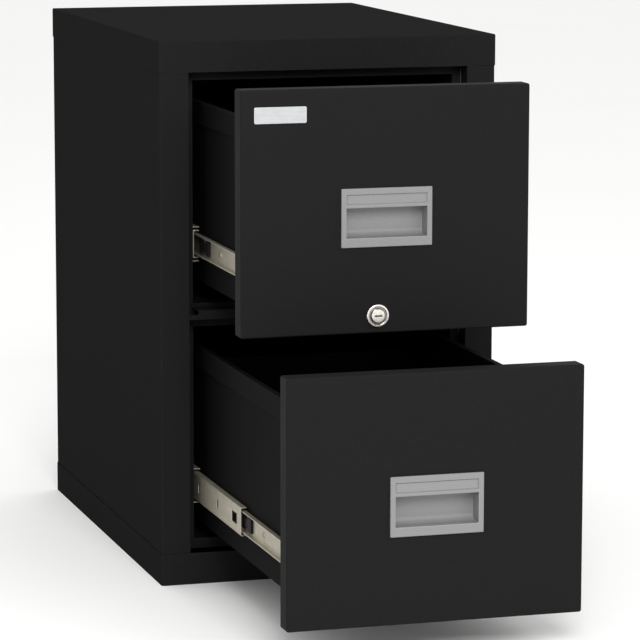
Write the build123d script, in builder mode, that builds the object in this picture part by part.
"""Two-drawer fire-resistant filing cabinet, with both drawers part open on telescopic slides.

The origin is the centre of the base on the floor. X runs across the front, Y from front to back
and Z up. Each sub-part is one node, written to parts/ under its own name.
"""
from build123d import *
from dataclasses import dataclass
from math import sqrt
import os

os.makedirs("parts", exist_ok=True)

# ---- overall sizes ------------------------------------------------------------------------------
cabinet_width = 451.0
cabinet_depth = 635.0
cabinet_height = 705.0

# ---- sheet metal and fits -----------------------------------------------------------------------
sheet = 1.2                 # outer shell and drawer steel
liner_sheet = 1.0           # inner liners
seam_gap = 0.2              # between neighbouring pieces that meet
lip_step = 0.8              # cap and base stand proud of the side panels
shell_corner_radius = 3.0
shell_edge_radius = 2.0

# ---- front of the cabinet -----------------------------------------------------------------------
cap_lip = 40.5
base_lip = 41.0
jamb_width = 38.7           # cabinet side to the opening
rib_height = 12.0
rib_setback = 0.8
rib_notch_width = 12.0
rib_notch_height = 6.0
rib_notch_radius = 2.5
panel_thickness = 26.0
panel_side_gap = 1.9
panel_height_gap = 1.5
stop_gap = 1.0              # behind a closed drawer front
stop_step = 11.6            # stop frame beyond each side of the opening's edge
sill_step = 13.0            # stop frame above the base rail
under_rib_step = 12.5       # stop frame below the rib
over_rib_step = 5.2         # stop frame above the rib
header_step = 12.5          # stop frame below the cap
back_wall = 50.0            # insulated back, outside to cavity

# ---- drawers ------------------------------------------------------------------------------------
upper_pull_out = 242.0      # how far the drawer stands open at rest
lower_pull_reserve = 57.5   # travel left beyond where the drawer stands at rest
panel_edge_radius = 2.5
panel_corner_radius = 3.0
tub_floor_rise = 30.5       # tub floor above the front's lower edge
tub_top_drop = 38.8         # side rails' top below the front's upper edge
tub_back_drop = 30.0        # back of the tub below its side rails
inner_core_thickness = 24.0
inner_core_top_gap = 6.0
tub_back_gap = 35.0         # behind a closed tub, to the liner
rail_band = 27.5
rail_width = 8.0
rail_inner_leg = 14.0
rail_overhang = 4.0         # outer leg of the rail beyond the tub side
rail_end_gap = 3.0

# ---- telescopic slides --------------------------------------------------------------------------
slide_thickness = 12.7      # liner to tub
slide_front_gap = 12.0      # behind a closed drawer front
slide_back_gap = 39.0       # to the back of the cavity
slide_end_overlap = 8.0     # slide length that is not travel
middle_shortfall = 108.0    # middle member shorter than the others
slide_rise = 79.5           # slide centre above the front's lower edge
slide_sheet = 1.2
outer_member_height = 45.5
race_gap = 3.4              # between the flanges of neighbouring members
member_gap = 2.0            # between the webs of neighbouring members
member_tip_gap = 0.9        # flange tips short of the neighbouring web
upper_middle_gap = 133.0    # middle member behind a closed drawer front
lower_middle_gap = 4.0
middle_travel_share = 0.5   # of its drawer's travel
middle_hole_width = 25.0
middle_hole_height = 14.0
middle_hole_inset = 30.5
middle_slot_length = 7.0
middle_slot_height = 11.0
middle_slot_inset = 112.0
cage_length = 100.0
inner_cage_inset = 8.0      # inner cages behind the middle member's front end
outer_cage_inset = 30.0     # outer cages ahead of the middle member's back end
cage_sheet = 0.8
cage_web_gap = 0.8
ball_clearance = 0.35
ball_count = 8
lever_length = 46.0
lever_head_length = 15.3    # wide part at each end of the lever
lever_height = 19.0
lever_waist = 11.0
lever_thickness = 3.2
lever_setback = 222.0       # lever's front end behind the drawer front's face
lever_edge_radius = 1.0
slide_screw_radius = 3.6
slide_screw_head = 1.6
slide_screw_shank = 1.9
slide_screw_clearance = 0.15
slide_screw_tail = 2.5      # shank inside the tub
slide_screw_inset = 50.0    # from the ends of the member and of the lever

# ---- recessed pulls -----------------------------------------------------------------------------
pull_width = 116.4
pull_height = 72.7
pull_drop = 8.0             # pull's centre below the front's centre
pull_proud = 3.0
pull_corner_radius = 1.2
pull_edge_radius = 1.0
pull_wall = 2.0
pull_rim = 6.4
cup_back_gap = 3.8          # behind the cup, to the back plate
cup_top_drop = 24.0         # finger recess below the pull's top edge
cup_undercut = 8.0          # finger recess up behind the label bar
cup_bar_thickness = 2.0     # label bar behind the drawer front's face
cup_bottom_rise = 11.5      # finger recess above the pull's bottom edge
cup_floor_radius = 9.0
cup_clearance = 0.5
card_top_drop = 7.5
card_height = 13.0
card_thickness = 0.6
card_recess = 2.2
card_clearance = 1.0
badge_width = 66.0
badge_height = 20.0
badge_thickness = 0.8
badge_corner_radius = 2.0
badge_side_inset = 50.0     # badge's centre from the front's left edge
badge_top_inset = 31.0      # badge's centre from the front's top edge

# ---- key lock -----------------------------------------------------------------------------------
lock_offset = -11.0         # lock's centre across the front
lock_rise = 21.6            # lock's centre above the front's lower edge
lock_wall = 2.9             # around the plug
lock_ring_overlap = 2.6     # ring beyond the lock's body
lock_ring_proud = 2.4
lock_ring_land = 2.6
lock_face_recess = 1.8
lock_ring_edge_radius = 0.8
lock_body_clearance = 0.3
lock_body_gap = 2.8         # behind the lock's body, to the back plate
lock_nut_land = 5.4         # nut's corners beyond the lock's body
lock_nut_thickness = 4.0
lock_nut_sides = 6
lock_nut_clearance = 0.1
plug_radius = 8.4
plug_clearance = 0.35
plug_proud = 3.6            # beyond the drawer front
plug_edge_radius = 0.5
plug_tail_radius = 5.0
plug_tail_end = 1.5         # tail beyond the cam
keyway_length = 10.0
keyway_height = 2.2
keyway_depth = 18.0
cam_thickness = 2.5
cam_width = 13.0
cam_hub_radius = 8.0
cam_bore_clearance = 0.1
cam_reach = 26.0            # tongue's tip from the lock's centre
strike_thickness = 2.5
strike_gap = 1.6
strike_width = 60.0
pocket_clearance = 2.0

# ---- places worked out from the sizes above -----------------------------------------------------
front = -cabinet_depth / 2
back = cabinet_depth / 2
half_width = cabinet_width / 2
side_face = half_width - lip_step
opening_half = half_width - jamb_width
frame_half = opening_half - seam_gap
cavity_half = opening_half - stop_step
opening_bottom = base_lip
opening_top = cabinet_height - cap_lip
bay_height = (opening_top - opening_bottom - rib_height) / 2
rib_bottom = opening_bottom + bay_height
rib_top = rib_bottom + rib_height
stop_face = panel_thickness + stop_gap
cavity_back = cabinet_depth - back_wall
liner_front = stop_face + sheet + seam_gap
panel_height = bay_height - 2 * panel_height_gap
panel_half = opening_half - panel_side_gap
tub_half = cavity_half - slide_thickness
tub_back_face = cavity_back - tub_back_gap
tub_front_face = panel_thickness + inner_core_thickness
slide_front = panel_thickness + slide_front_gap
slide_length = cavity_back - slide_back_gap - slide_front
middle_length = slide_length - middle_shortfall
drawer_travel = slide_length - slide_end_overlap
lower_pull_out = drawer_travel - lower_pull_reserve
middle_member_height = outer_member_height - 2 * (slide_sheet + race_gap)
inner_member_height = middle_member_height - 2 * (slide_sheet + race_gap)
ball_radius = race_gap / 2 - ball_clearance
cup_depth = panel_thickness - sheet - cup_back_gap - pull_wall
lock_body_radius = plug_radius + plug_clearance + lock_wall
lock_ring_radius = lock_body_radius + lock_ring_overlap
lock_nut_radius = lock_body_radius + lock_nut_land
lock_body_length = panel_thickness - sheet - lock_body_gap
lock_body_hole = lock_body_radius + lock_body_clearance
strike_front = liner_front + seam_gap
strike_back = strike_front + strike_thickness
cam_front = strike_back + strike_gap
cam_back = cam_front + cam_thickness
wall_inner = cavity_half + liner_sheet + seam_gap
shell_inner = side_face - sheet - seam_gap


@dataclass(frozen=True)
class Bay:
    """One drawer's place in the cabinet and how far the drawer stands open.

    Args:
        name: first word of the drawer's node names.
        bottom: height of the bay's lower edge.
        cavity_bottom: height of the cavity's floor.
        cavity_top: height of the cavity's roof.
        pull_out: how far the drawer stands open at rest.
        middle_gap: middle slide members' front end behind a closed drawer front.
        has_lock: whether the drawer front carries the key lock and the badge.
    """

    name: str
    bottom: float
    cavity_bottom: float
    cavity_top: float
    pull_out: float
    middle_gap: float
    has_lock: bool

    @property
    def panel_bottom(self):
        return self.bottom + panel_height_gap

    @property
    def panel_top(self):
        return self.panel_bottom + panel_height

    @property
    def drawer_front(self):
        return front - self.pull_out

    @property
    def tub_bottom(self):
        return self.panel_bottom + tub_floor_rise

    @property
    def tub_top(self):
        return self.panel_top - tub_top_drop

    @property
    def slide_height(self):
        return self.panel_bottom + slide_rise

    @property
    def middle_front(self):
        closed = front + panel_thickness + self.middle_gap
        return closed - middle_travel_share * self.pull_out

    @property
    def pull_centre(self):
        return (self.panel_bottom + self.panel_top) / 2 - pull_drop

    @property
    def lock_height(self):
        return self.panel_bottom + lock_rise


lower_bay = Bay(
    "lower",
    opening_bottom,
    opening_bottom + sill_step,
    rib_bottom - under_rib_step,
    lower_pull_out,
    lower_middle_gap,
    False,
)
upper_bay = Bay(
    "upper",
    rib_top,
    rib_top + over_rib_step,
    opening_top - header_step,
    upper_pull_out,
    upper_middle_gap,
    True,
)
bays = (lower_bay, upper_bay)
sides = {"left": -1, "right": 1}

# The cam's tongue swings down into a pocket in the divider, behind the strike plate.
cam_drop = upper_bay.lock_height - upper_bay.cavity_bottom
cam_swing = sqrt(cam_reach**2 - cam_drop**2) + cam_width / 2
pocket_left = lock_offset - cam_width / 2 - pocket_clearance
pocket_right = lock_offset + cam_swing + pocket_clearance
pocket_bottom = upper_bay.lock_height - cam_reach - pocket_clearance
pocket_back = cam_back + pocket_clearance
pocket_centre = (pocket_left + pocket_right) / 2
strike_half = strike_width / 2


def block(x_span, y_span, z_span, mode=Mode.ADD):
    """Add or cut a box that fills the given (low, high) spans in the open part."""
    x_low, x_high = sorted(x_span)
    y_low, y_high = sorted(y_span)
    z_low, z_high = sorted(z_span)
    with BuildSketch(Plane.XY.offset(z_low)) as outline:
        with Locations(((x_low + x_high) / 2, (y_low + y_high) / 2)):
            Rectangle(x_high - x_low, y_high - y_low)
    extrude(outline.sketch, amount=z_high - z_low, mode=mode)


def front_plane(y, x=0.0, z=0.0):
    """Return a plane that faces the front at depth y, with its origin at (x, z)."""
    return Plane(origin=(x, y, z), x_dir=(1, 0, 0), z_dir=(0, -1, 0))


def save(piece, name):
    """Label a finished sub-part and write it to its own STEP file."""
    piece.part.label = name
    export_step(piece.part, f"parts/{name}.step")


# ---- outer shell --------------------------------------------------------------------------------
with BuildPart() as top_cap:
    block((-half_width, half_width), (front, back), (opening_top, cabinet_height))
    fillet(top_cap.edges().filter_by(Axis.Z), shell_corner_radius)
    fillet(top_cap.faces().sort_by(Axis.Z)[-1].edges(), shell_edge_radius)
    block(
        (-half_width + sheet, half_width - sheet),
        (front + stop_face, back - sheet),
        (opening_top, cabinet_height - sheet),
        Mode.SUBTRACT,
    )
    block(
        (-half_width + sheet, half_width - sheet),
        (front + sheet, front + stop_face),
        (opening_top + sheet, cabinet_height - sheet),
        Mode.SUBTRACT,
    )
    for side in sides.values():
        block(
            (side * (opening_half + seam_gap), side * (half_width - sheet)),
            (front + sheet, front + stop_face),
            (opening_top, opening_top + sheet),
            Mode.SUBTRACT,
        )
save(top_cap, "top_cap")

with BuildPart() as base_pan:
    block((-half_width, half_width), (front, back), (0, base_lip))
    fillet(base_pan.edges().filter_by(Axis.Z), shell_corner_radius)
    block(
        (-half_width + sheet, half_width - sheet),
        (front + stop_face, back - sheet),
        (sheet, base_lip),
        Mode.SUBTRACT,
    )
    block(
        (-half_width + sheet, half_width - sheet),
        (front + sheet, front + stop_face),
        (sheet, base_lip - sheet),
        Mode.SUBTRACT,
    )
    for side in sides.values():
        block(
            (side * (opening_half + seam_gap), side * (half_width - sheet)),
            (front + sheet, front + stop_face),
            (base_lip - sheet, base_lip),
            Mode.SUBTRACT,
        )
save(base_pan, "base_pan")

for side_name, side in sides.items():
    with BuildPart() as side_panel:
        span = (opening_bottom + seam_gap, opening_top - seam_gap)
        block((side * opening_half, side * side_face), (front + lip_step, back - lip_step), span)
        outer_corners = side_panel.edges().filter_by(Axis.Z).group_by(Axis.X)[-1 if side > 0 else 0]
        fillet(outer_corners, shell_corner_radius)
        block(
            (side * (opening_half + sheet), side * (side_face - sheet)),
            (front + lip_step + sheet, back),
            span,
            Mode.SUBTRACT,
        )
        block(
            (side * opening_half, side * (opening_half + sheet)),
            (front + stop_face, back),
            span,
            Mode.SUBTRACT,
        )
    save(side_panel, f"side_panel_{side_name}")

with BuildPart() as back_panel:
    block(
        (-side_face + sheet + seam_gap, side_face - sheet - seam_gap),
        (back - lip_step - sheet, back - lip_step),
        (opening_bottom + seam_gap, opening_top - seam_gap),
    )
save(back_panel, "back_panel")

# ---- frame around and between the openings ------------------------------------------------------
with BuildPart() as stop_frame:
    frame_span = (front + stop_face, front + stop_face + sheet)
    block((-frame_half, frame_half), frame_span, (opening_bottom + seam_gap, opening_top - seam_gap))
    for bay in bays:
        block(
            (-cavity_half, cavity_half),
            frame_span,
            (bay.cavity_bottom, bay.cavity_top),
            Mode.SUBTRACT,
        )
save(stop_frame, "stop_frame")

with BuildPart() as divider_rib:
    rib_back = front + stop_face - seam_gap
    block((-frame_half, frame_half), (front + rib_setback, rib_back), (rib_bottom, rib_top))
    block(
        (-frame_half, frame_half),
        (front + rib_setback + sheet, rib_back),
        (rib_bottom + sheet, rib_top - sheet),
        Mode.SUBTRACT,
    )
    for side in sides.values():
        with BuildSketch(front_plane(rib_back)):
            with Locations((side * (frame_half - rib_notch_width / 2), rib_top - rib_notch_height / 2)):
                RectangleRounded(rib_notch_width, rib_notch_height, rib_notch_radius)
            with Locations((side * frame_half, rib_top)):
                Rectangle(rib_notch_width, rib_notch_height)
        extrude(amount=stop_face, mode=Mode.SUBTRACT)
save(divider_rib, "divider_rib")

# ---- inner liners -------------------------------------------------------------------------------
for bay in bays:
    with BuildPart() as liner:
        block(
            (-cavity_half - liner_sheet, cavity_half + liner_sheet),
            (front + liner_front, front + cavity_back + liner_sheet),
            (bay.cavity_bottom - liner_sheet, bay.cavity_top + liner_sheet),
        )
        block(
            (-cavity_half, cavity_half),
            (front + liner_front, front + cavity_back),
            (bay.cavity_bottom, bay.cavity_top),
            Mode.SUBTRACT,
        )
        if bay.has_lock:
            block(
                (pocket_centre - strike_half, pocket_centre + strike_half),
                (front + liner_front, front + pocket_back),
                (bay.cavity_bottom - liner_sheet, bay.cavity_bottom),
                Mode.SUBTRACT,
            )
    save(liner, f"{bay.name}_liner")

# ---- insulation ---------------------------------------------------------------------------------
core_low = sheet + seam_gap
core_high = cabinet_height - sheet - seam_gap
core_back = back - lip_step - sheet - seam_gap
core_front = front + liner_front
back_core_front = front + cavity_back + liner_sheet + seam_gap
core_half = wall_inner - seam_gap
jamb_front = front + lip_step + sheet + seam_gap
lower_roof = lower_bay.cavity_top + liner_sheet + seam_gap
upper_floor = upper_bay.cavity_bottom - liner_sheet - seam_gap

for side_name, side in sides.items():
    with BuildPart() as side_core:
        block((side * wall_inner, side * shell_inner), (core_front, core_back), (core_low, core_high))
        block(
            (side * (opening_half + sheet + seam_gap), side * shell_inner),
            (jamb_front, core_front),
            (core_low, core_high),
        )
    save(side_core, f"insulation_{side_name}")

with BuildPart() as top_core:
    roof = upper_bay.cavity_top + liner_sheet + seam_gap
    block((-core_half, core_half), (core_front, back_core_front - seam_gap), (roof, core_high))
save(top_core, "insulation_top")

with BuildPart() as bottom_core:
    floor = lower_bay.cavity_bottom - liner_sheet - seam_gap
    block((-core_half, core_half), (core_front, back_core_front - seam_gap), (core_low, floor))
save(bottom_core, "insulation_bottom")

with BuildPart() as back_core:
    block((-core_half, core_half), (back_core_front, core_back), (core_low, core_high))
save(back_core, "insulation_back")

with BuildPart() as divider_core:
    block((-core_half, core_half), (core_front, back_core_front - seam_gap), (lower_roof, upper_floor))
    block(
        (pocket_centre - strike_half, pocket_centre + strike_half),
        (core_front, front + pocket_back),
        (pocket_bottom, upper_floor),
        Mode.SUBTRACT,
    )
save(divider_core, "insulation_divider")

with BuildPart() as strike_plate:
    block(
        (pocket_centre - strike_half + seam_gap, pocket_centre + strike_half - seam_gap),
        (front + strike_front, front + strike_back),
        (pocket_bottom + seam_gap, upper_bay.cavity_bottom),
    )
save(strike_plate, "strike_plate")


# ---- telescopic slides --------------------------------------------------------------------------
def channel(side, web_face, flange_tip, height, y_span, centre):
    """Add a channel that runs from front to back.

    Args:
        side: -1 on the left of the cabinet, 1 on the right.
        web_face: distance of the web's far face from the middle plane.
        flange_tip: distance of the flanges' tips from the middle plane.
        height: overall height.
        y_span: front and back ends.
        centre: height of its centre line.
    """
    toward_tip = 1 if flange_tip > web_face else -1
    web_near = web_face + toward_tip * slide_sheet
    z_span = (centre - height / 2, centre + height / 2)
    block((side * web_face, side * flange_tip), y_span, z_span)
    block(
        (side * web_near, side * flange_tip),
        y_span,
        (z_span[0] + slide_sheet, z_span[1] - slide_sheet),
        Mode.SUBTRACT,
    )


def screw_points(bay, side):
    """Return the slide screws' centres as points on the side plane."""
    member_front = bay.drawer_front + slide_front
    lever_front = bay.drawer_front + lever_setback
    depths = (
        member_front + slide_screw_inset,
        lever_front - slide_screw_inset,
        lever_front + lever_length + slide_screw_inset,
        member_front + slide_length - slide_screw_inset,
    )
    return [(side * depth, bay.slide_height) for depth in depths]


def side_plane(side, x):
    """Return a plane that faces out of one side at distance x from the middle."""
    return Plane(origin=(side * x, 0, 0), x_dir=(0, side, 0), z_dir=(side, 0, 0))


def screw_holes(bay, side):
    """Cut the slide screws' clearance holes through the open part's side."""
    with BuildSketch(side_plane(side, tub_half - slide_screw_tail)) as holes:
        with Locations(screw_points(bay, side)):
            Circle(slide_screw_shank + slide_screw_clearance)
    extrude(holes.sketch, amount=slide_screw_tail + slide_sheet, mode=Mode.SUBTRACT)


outer_web = cavity_half
middle_web = outer_web - slide_sheet - member_gap
inner_web = tub_half
outer_tip = inner_web + slide_sheet
middle_tip = inner_web + slide_sheet + member_tip_gap / 2
inner_tip = middle_web - slide_sheet - member_tip_gap
outer_far_tip = outer_web - slide_sheet - cage_web_gap
outer_cage_start = middle_length - cage_length - outer_cage_inset
inner_cage_height = (inner_member_height / 2 + middle_member_height / 2 - slide_sheet) / 2
outer_cage_height = (middle_member_height / 2 + outer_member_height / 2 - slide_sheet) / 2

for bay in bays:
    outer_ends = (front + slide_front, front + slide_front + slide_length)
    inner_ends = (bay.drawer_front + slide_front, bay.drawer_front + slide_front + slide_length)
    middle_ends = (bay.middle_front, bay.middle_front + middle_length)
    for side_name, side in sides.items():
        with BuildPart() as outer_member:
            channel(side, outer_web, outer_tip, outer_member_height, outer_ends, bay.slide_height)
        save(outer_member, f"{bay.name}_slide_outer_{side_name}")

        with BuildPart() as middle_member:
            channel(side, middle_web, middle_tip, middle_member_height, middle_ends, bay.slide_height)
            for inset, length, height in (
                (middle_hole_inset, middle_hole_width, middle_hole_height),
                (middle_slot_inset, middle_slot_length, middle_slot_height),
            ):
                block(
                    (side * middle_web, side * (middle_web - slide_sheet)),
                    (middle_ends[0] + inset - length / 2, middle_ends[0] + inset + length / 2),
                    (bay.slide_height - height / 2, bay.slide_height + height / 2),
                    Mode.SUBTRACT,
                )
        save(middle_member, f"{bay.name}_slide_middle_{side_name}")

        with BuildPart() as inner_member:
            channel(side, inner_web, inner_tip, inner_member_height, inner_ends, bay.slide_height)
            screw_holes(bay, side)
        save(inner_member, f"{bay.name}_slide_inner_{side_name}")

    with BuildPart() as ball_cages:
        for side in sides.values():
            for inset, near_tip, far_tip, offset in (
                (inner_cage_inset, middle_tip, inner_tip, inner_cage_height),
                (outer_cage_start, outer_tip, outer_far_tip, outer_cage_height),
            ):
                for way in (-1, 1):
                    centre = bay.slide_height + way * offset
                    first = middle_ends[0] + inset
                    block(
                        (side * near_tip, side * far_tip),
                        (first, first + cage_length),
                        (centre - cage_sheet / 2, centre + cage_sheet / 2),
                    )
                    ball_x = side * (near_tip + far_tip) / 2
                    ball_step = cage_length / ball_count
                    ball_y = first + cage_length / 2
                    with Locations((ball_x, ball_y, centre)):
                        with GridLocations(0, ball_step, 1, ball_count):
                            Sphere(ball_radius)
    save(ball_cages, f"{bay.name}_ball_cages")

    with BuildPart() as release_levers:
        for side in sides.values():
            lever_middle = bay.drawer_front + lever_setback + lever_length / 2
            with BuildSketch(side_plane(side, inner_web + slide_sheet + seam_gap)) as outline:
                with Locations((side * lever_middle, bay.slide_height)):
                    Rectangle(lever_length, lever_waist)
                    for way in (-1, 1):
                        with Locations((way * (lever_length - lever_head_length) / 2, 0)):
                            Rectangle(lever_head_length, lever_height)
                fillet(outline.vertices(), lever_edge_radius)
            extrude(outline.sketch, amount=lever_thickness)
    save(release_levers, f"{bay.name}_release_levers")

    with BuildPart() as slide_screws:
        for side in sides.values():
            with BuildSketch(side_plane(side, inner_web + slide_sheet)) as heads:
                with Locations(screw_points(bay, side)):
                    Circle(slide_screw_radius)
            extrude(heads.sketch, amount=slide_screw_head)
            with BuildSketch(side_plane(side, inner_web + slide_sheet)) as shanks:
                with Locations(screw_points(bay, side)):
                    Circle(slide_screw_shank)
            extrude(shanks.sketch, amount=-slide_sheet - slide_screw_tail)
    save(slide_screws, f"{bay.name}_slide_screws")


# ---- drawers ------------------------------------------------------------------------------------
def pull_hole(bay, clearance, y_span):
    """Cut the way for the recessed pull's cup through the open part."""
    block(
        (-cup_half - pull_wall - clearance, cup_half + pull_wall + clearance),
        y_span,
        (cup_bottom(bay) - pull_wall - clearance, cup_top(bay) + cup_undercut + pull_wall + clearance),
        Mode.SUBTRACT,
    )


def cup_bottom(bay):
    """Return the height of the finger recess's lower edge."""
    return bay.pull_centre - pull_height / 2 + cup_bottom_rise


def cup_top(bay):
    """Return the height of the finger recess's upper edge."""
    return bay.pull_centre + pull_height / 2 - cup_top_drop


def lock_disc(bay, y, radius, depth, mode=Mode.ADD):
    """Add or cut a disc on the lock's axis, from depth y behind the drawer front's face."""
    with BuildSketch(front_plane(bay.drawer_front + y, lock_offset, bay.lock_height)) as outline:
        Circle(radius)
    extrude(outline.sketch, amount=-depth, mode=mode)


cup_half = pull_width / 2 - pull_rim
core_panel_half = panel_half - sheet - seam_gap
core_panel_front = sheet + seam_gap
core_panel_back = panel_thickness - sheet - seam_gap
tub_inner_half = tub_half - sheet - seam_gap

for bay in bays:
    face = bay.drawer_front
    panel_span = (bay.panel_bottom, bay.panel_top)
    core_span = (bay.panel_bottom + sheet + seam_gap, bay.panel_top - sheet - seam_gap)
    tub_floor = bay.tub_bottom + sheet + seam_gap
    tub_wall_top = bay.tub_top - inner_core_top_gap

    with BuildPart() as front_panel:
        block((-panel_half, panel_half), (face, face + panel_thickness), panel_span)
        fillet(front_panel.edges().filter_by(Axis.Y), panel_corner_radius)
        fillet(front_panel.faces().sort_by(Axis.Y)[0].edges(), panel_edge_radius)
        block(
            (-panel_half + sheet, panel_half - sheet),
            (face + sheet, face + panel_thickness),
            (bay.panel_bottom + sheet, bay.panel_top - sheet),
            Mode.SUBTRACT,
        )
        pull_hole(bay, cup_clearance, (face, face + sheet))
        if bay.has_lock:
            lock_disc(bay, 0, lock_body_hole, sheet, Mode.SUBTRACT)
    save(front_panel, f"{bay.name}_front_panel")

    with BuildPart() as front_core:
        block(
            (-core_panel_half, core_panel_half),
            (face + core_panel_front, face + core_panel_back),
            core_span,
        )
        pull_hole(bay, cup_clearance, (face, face + cup_depth + pull_wall + cup_clearance))
        if bay.has_lock:
            nut_hole = lock_nut_radius + lock_body_clearance
            lock_disc(bay, 0, lock_body_hole, panel_thickness, Mode.SUBTRACT)
            lock_disc(bay, 0, nut_hole, core_panel_front + lock_nut_thickness, Mode.SUBTRACT)
    save(front_core, f"{bay.name}_front_core")

    with BuildPart() as back_plate:
        block(
            (-core_panel_half, core_panel_half),
            (face + panel_thickness - sheet, face + panel_thickness),
            core_span,
        )
        if bay.has_lock:
            tail_hole = plug_tail_radius + lock_body_clearance
            lock_disc(bay, 0, tail_hole, panel_thickness, Mode.SUBTRACT)
    save(back_plate, f"{bay.name}_back_plate")

    with BuildPart() as inner_core:
        block(
            (-tub_inner_half, tub_inner_half),
            (face + panel_thickness + seam_gap, face + tub_front_face - seam_gap),
            (tub_floor, tub_wall_top),
        )
    save(inner_core, f"{bay.name}_inner_core")

    with BuildPart() as tub:
        tub_span = (face + panel_thickness + seam_gap, face + tub_back_face)
        side_top = bay.tub_top - sheet - seam_gap
        block((-tub_half, tub_half), tub_span, (bay.tub_bottom, side_top))
        block(
            (-tub_half + sheet, tub_half - sheet),
            tub_span,
            (bay.tub_bottom + sheet, side_top),
            Mode.SUBTRACT,
        )
        for side in sides.values():
            screw_holes(bay, side)
    save(tub, f"{bay.name}_tub")

    with BuildPart() as tub_front:
        block(
            (-tub_inner_half, tub_inner_half),
            (face + tub_front_face, face + tub_front_face + sheet),
            (tub_floor, tub_wall_top),
        )
    save(tub_front, f"{bay.name}_tub_front")

    with BuildPart() as tub_back:
        block(
            (-tub_inner_half, tub_inner_half),
            (face + tub_back_face - sheet, face + tub_back_face),
            (tub_floor, bay.tub_top - tub_back_drop),
        )
    save(tub_back, f"{bay.name}_tub_back")

    with BuildPart() as side_rails:
        rail_outer = tub_half + rail_overhang
        rail_inner = rail_outer - rail_width
        rail_span = (face + tub_front_face + sheet + rail_end_gap, face + tub_back_face - rail_end_gap)
        for side in sides.values():
            block(
                (side * rail_inner, side * rail_outer),
                rail_span,
                (bay.tub_top - rail_band, bay.tub_top),
            )
            block(
                (side * (rail_inner + sheet), side * (rail_outer - sheet)),
                rail_span,
                (bay.tub_top - rail_band, bay.tub_top - sheet),
                Mode.SUBTRACT,
            )
            block(
                (side * rail_inner, side * (rail_inner + sheet)),
                rail_span,
                (bay.tub_top - rail_band, bay.tub_top - rail_inner_leg),
                Mode.SUBTRACT,
            )
    save(side_rails, f"{bay.name}_side_rails")

    with BuildPart() as pull:
        with BuildSketch(front_plane(face, 0, bay.pull_centre)):
            RectangleRounded(pull_width, pull_height, pull_corner_radius)
        extrude(amount=pull_proud)
        fillet(pull.faces().sort_by(Axis.Y)[0].edges(), pull_edge_radius)
        block(
            (-cup_half - pull_wall, cup_half + pull_wall),
            (face, face + cup_depth + pull_wall),
            (cup_bottom(bay) - pull_wall, cup_top(bay) + cup_undercut + pull_wall),
        )
        with BuildSketch(Plane.YZ.offset(-cup_half)) as recess:
            with Locations((face, (cup_bottom(bay) + cup_top(bay)) / 2)):
                Rectangle(2 * cup_bar_thickness + 2 * pull_proud, cup_top(bay) - cup_bottom(bay))
            hollow_depth = cup_depth - cup_bar_thickness
            hollow_middle = face + cup_bar_thickness + hollow_depth / 2
            hollow_top = cup_top(bay) + cup_undercut
            with Locations((hollow_middle, (cup_bottom(bay) + hollow_top) / 2)):
                Rectangle(hollow_depth, hollow_top - cup_bottom(bay))
            fillet(recess.vertices().group_by(Axis.X)[-1], cup_floor_radius)
        extrude(amount=2 * cup_half, mode=Mode.SUBTRACT)
        card_top = bay.pull_centre + pull_height / 2 - card_top_drop
        block(
            (-cup_half, cup_half),
            (face - pull_proud, face - pull_proud + card_recess),
            (card_top - card_height, card_top),
            Mode.SUBTRACT,
        )
    save(pull, f"{bay.name}_pull")

    with BuildPart() as label_card:
        card_back = face - pull_proud + card_recess
        block(
            (-cup_half + card_clearance, cup_half - card_clearance),
            (card_back - card_thickness, card_back),
            (card_top - card_height + card_clearance, card_top - card_clearance),
        )
    save(label_card, f"{bay.name}_label_card")

# ---- badge and key lock, on the upper drawer ----------------------------------------------------
face = upper_bay.drawer_front
badge_x = -panel_half + badge_side_inset
badge_z = upper_bay.panel_top - badge_top_inset
with BuildPart() as badge:
    with BuildSketch(front_plane(face, badge_x, badge_z)):
        RectangleRounded(badge_width, badge_height, badge_corner_radius)
    extrude(amount=badge_thickness)
save(badge, "badge")

with BuildPart() as lock_housing:
    lock_disc(upper_bay, -lock_ring_proud, lock_ring_radius, lock_ring_proud)
    fillet(lock_housing.faces().sort_by(Axis.Y)[0].edges(), lock_ring_edge_radius)
    lock_disc(upper_bay, 0, lock_body_radius, lock_body_length)
    ring_bore = lock_ring_radius - lock_ring_land
    lock_disc(upper_bay, -lock_ring_proud, ring_bore, lock_face_recess, Mode.SUBTRACT)
    bore_length = lock_ring_proud + lock_body_length
    lock_disc(upper_bay, -lock_ring_proud, plug_radius + plug_clearance, bore_length, Mode.SUBTRACT)
save(lock_housing, "lock_housing")

with BuildPart() as lock_nut:
    nut_plane = front_plane(face + core_panel_front, lock_offset, upper_bay.lock_height)
    with BuildSketch(nut_plane):
        RegularPolygon(lock_nut_radius, lock_nut_sides)
        Circle(lock_body_radius + lock_nut_clearance, mode=Mode.SUBTRACT)
    extrude(amount=-lock_nut_thickness)
save(lock_nut, "lock_nut")

with BuildPart() as lock_plug:
    lock_disc(upper_bay, -plug_proud, plug_radius, plug_proud + lock_body_length)
    fillet(lock_plug.faces().sort_by(Axis.Y)[0].edges(), plug_edge_radius)
    lock_disc(upper_bay, lock_body_length, plug_tail_radius, cam_back + plug_tail_end - lock_body_length)
    with BuildSketch(front_plane(face - plug_proud, lock_offset, upper_bay.lock_height)):
        Rectangle(keyway_length, keyway_height)
    extrude(amount=-keyway_depth, mode=Mode.SUBTRACT)
save(lock_plug, "lock_plug")

with BuildPart() as lock_cam:
    with BuildSketch(front_plane(face + cam_front, lock_offset, upper_bay.lock_height)):
        Circle(cam_hub_radius)
        with Locations((cam_reach / 2, 0)):
            Rectangle(cam_reach, cam_width)
        Circle(plug_tail_radius + cam_bore_clearance, mode=Mode.SUBTRACT)
    extrude(amount=-cam_thickness)
save(lock_cam, "lock_cam")
